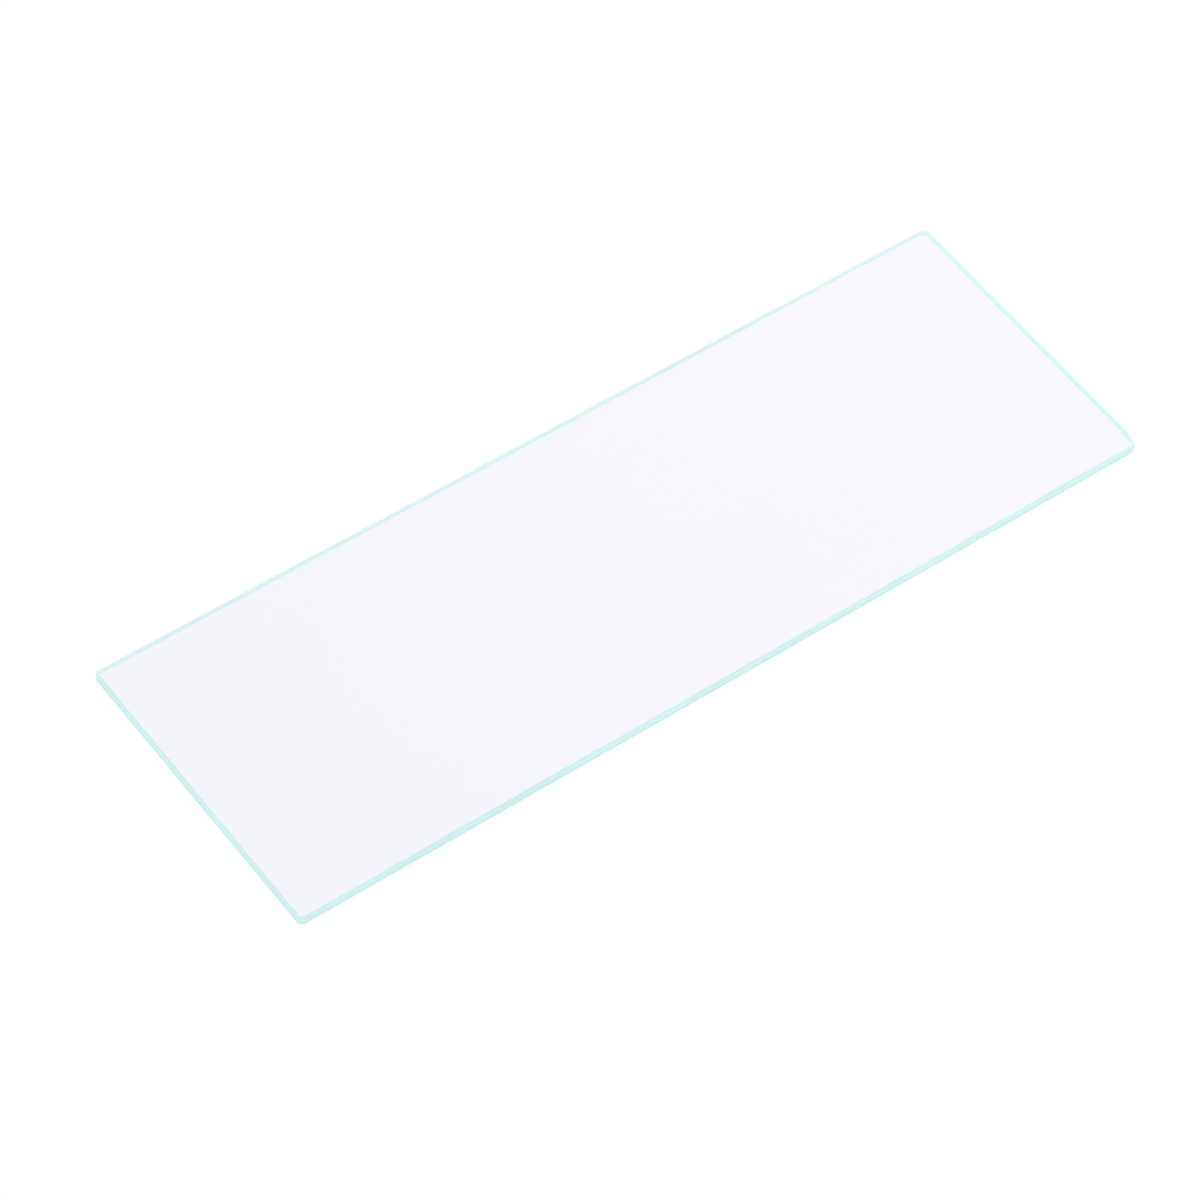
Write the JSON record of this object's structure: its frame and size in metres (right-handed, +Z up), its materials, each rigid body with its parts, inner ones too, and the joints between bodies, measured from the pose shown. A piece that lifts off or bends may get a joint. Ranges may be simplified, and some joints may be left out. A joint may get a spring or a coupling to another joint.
{
  "type": "microscope slide",
  "caption": "Flat rectangular plate of clear glass with nipped corners and seamed edges, which carries a specimen under a microscope.",
  "frame": {"origin": "centre of the underside", "axes": "+X along the length, +Y from the front long edge to the back one, +Z up, out of the face that takes the specimen"},
  "size_m": [0.0762, 0.0254, 0.001],
  "materials": {
    "clear_glass": "polished faces, aqua cut edges"
  },
  "bodies": {
    "root": {"glass_slide": "clear_glass"}
  },
  "joints": []
}
